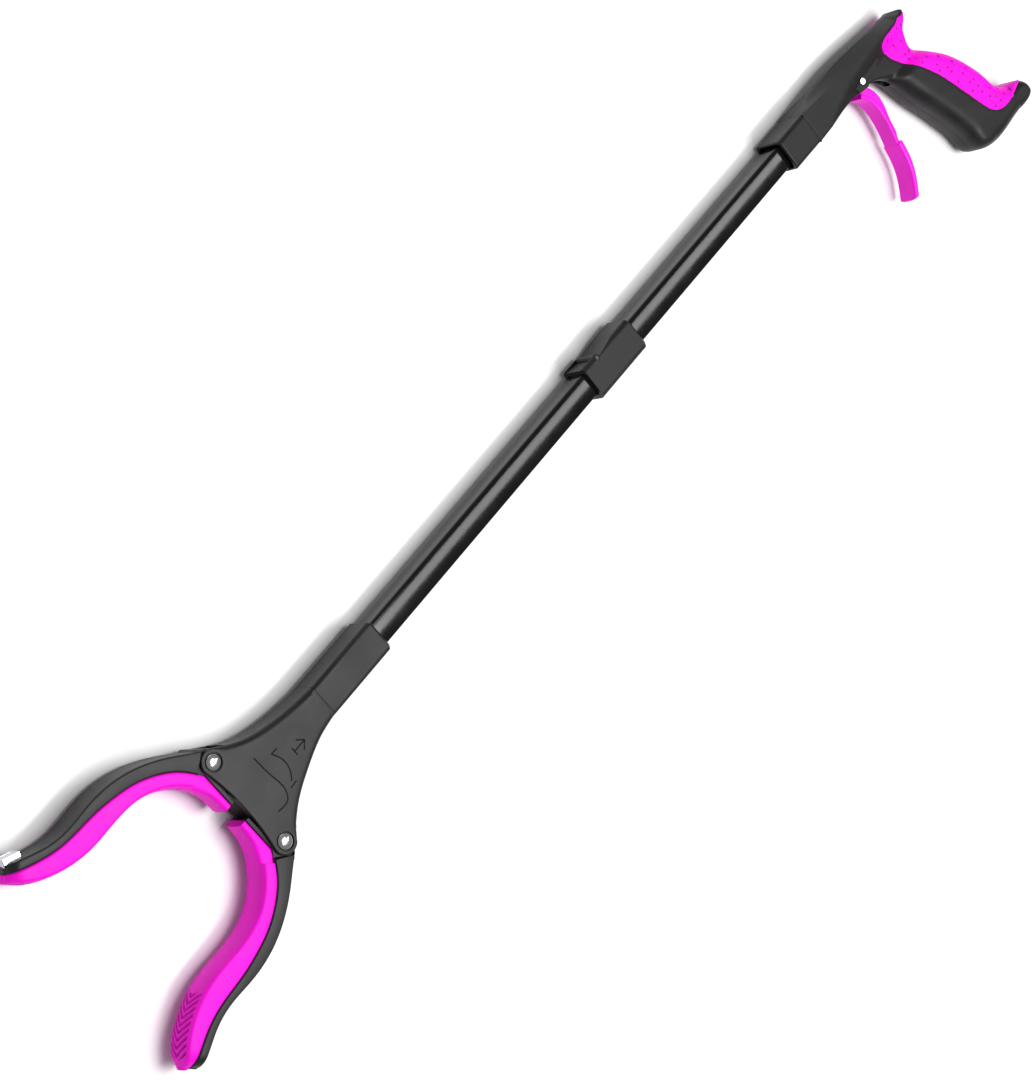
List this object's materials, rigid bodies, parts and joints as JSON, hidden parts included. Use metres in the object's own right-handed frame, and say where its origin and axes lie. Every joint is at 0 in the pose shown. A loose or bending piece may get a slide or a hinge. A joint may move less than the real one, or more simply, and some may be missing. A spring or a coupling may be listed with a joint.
{
  "type": "reacher grabber",
  "caption": "Folding pick-up tool: pistol grip with trigger, square tube with fold joint and cord, swivelling yoke, two curved lined jaws with pads and a magnet at one tip.",
  "frame": {"origin": "on the yoke's flat underside, on the shaft's centre line, level with the two jaw pivots", "axes": "+X along the shaft towards the jaw tips, +Y towards the trigger and grip, +Z along the pins of the jaws, trigger and fold; the tool lies on its side"},
  "size_m": [0.8133, 0.1731, 0.0264],
  "materials": {
    "black_plastic": "satin moulded plastic",
    "magenta_soft": "soft-touch moulded rubber",
    "magenta_plastic": "smooth moulded plastic",
    "tube_black": "gloss black coated aluminium",
    "steel": "polished",
    "magnet": "plated",
    "inner_plastic": "plain moulded plastic",
    "cord": "braided polyester",
    "spring_steel": "spring wire"
  },
  "bodies": {
    "handle": {"handle_shell_front": "black_plastic", "handle_shell_rear": "black_plastic", "grip_overlay": "magenta_soft", "handle_screws": "steel", "handle_ferrule": "black_plastic", "trigger_pin": "steel", "cord_post": "steel", "cord_bight": "cord", "rear_tube": "tube_black", "rear_tube_guide": "inner_plastic", "fold_collar": "black_plastic", "fold_pin": "steel"},
    "trigger": {"trigger": "magenta_plastic", "cord_crimp": "steel"},
    "rear_cord": {"cord_rear": "cord"},
    "cord_turn": {"cord_return": "cord"},
    "shaft": {"fold_knuckle": "black_plastic", "front_tube": "tube_black", "front_tube_guide": "inner_plastic", "neck_socket": "black_plastic"},
    "head": {"yoke_front": "black_plastic", "yoke_rear": "black_plastic", "jaw_rivet_left": "steel", "jaw_rivet_right": "steel", "swivel_clip": "spring_steel", "return_spring": "spring_steel"},
    "slider": {"slider": "inner_plastic", "cord_front": "cord"},
    "jaw_left": {"jaw_arm_left": "black_plastic", "jaw_liner_left": "magenta_soft", "tail_pin_left": "steel", "magnet_holder": "steel", "magnet": "magnet"},
    "jaw_right": {"jaw_arm_right": "black_plastic", "jaw_liner_right": "magenta_soft", "tail_pin_right": "steel"}
  },
  "joints": [
    {"name": "trigger_pull", "type": "hinge", "parent": "handle", "child": "trigger", "pos_m": [-0.589, 0.0054, 0.0105], "axis": [0, 0, 1], "range_deg": [0, 28.9], "stiffness_Nm_per_rad": 0.35, "springref_deg": -20.05},
    {"name": "rear_cord_pull", "type": "slide", "parent": "handle", "child": "rear_cord", "axis": [-1, 0, 0], "range_m": [0, 0.00595]},
    {"name": "cord_turn_pull", "type": "slide", "parent": "handle", "child": "cord_turn", "axis": [1, 0, 0], "range_m": [0, 0.00595]},
    {"name": "fold", "type": "hinge", "parent": "handle", "child": "shaft", "pos_m": [-0.326, -0.0084, 0.0105], "axis": [0, 0, -1], "range_deg": [0, 166]},
    {"name": "head_rotate", "type": "hinge", "parent": "shaft", "child": "head", "pos_m": [-0.0675, 0, 0.0105], "axis": [1, 0, 0], "range_deg": [0, 90]},
    {"name": "slider_pull", "type": "slide", "parent": "head", "child": "slider", "axis": [-1, 0, 0], "range_m": [0, 0.00595], "deforming": ["return_spring"]},
    {"name": "jaw_left_close", "type": "hinge", "parent": "head", "child": "jaw_left", "pos_m": [0, -0.0245, 0.0105], "axis": [0, 0, 1], "range_deg": [0, 28.9]},
    {"name": "jaw_right_close", "type": "hinge", "parent": "head", "child": "jaw_right", "pos_m": [0, 0.0335, 0.0105], "axis": [0, 0, -1], "range_deg": [0, 28.9]}
  ],
  "couplings": [
    {"joint": "rear_cord_pull", "follows": "trigger_pull", "m_per_rad": 0.011798},
    {"joint": "cord_turn_pull", "follows": "trigger_pull", "m_per_rad": 0.011798},
    {"joint": "slider_pull", "follows": "trigger_pull", "m_per_rad": 0.011798},
    {"joint": "jaw_left_close", "follows": "trigger_pull", "ratio": 1},
    {"joint": "jaw_right_close", "follows": "trigger_pull", "ratio": 1}
  ]
}
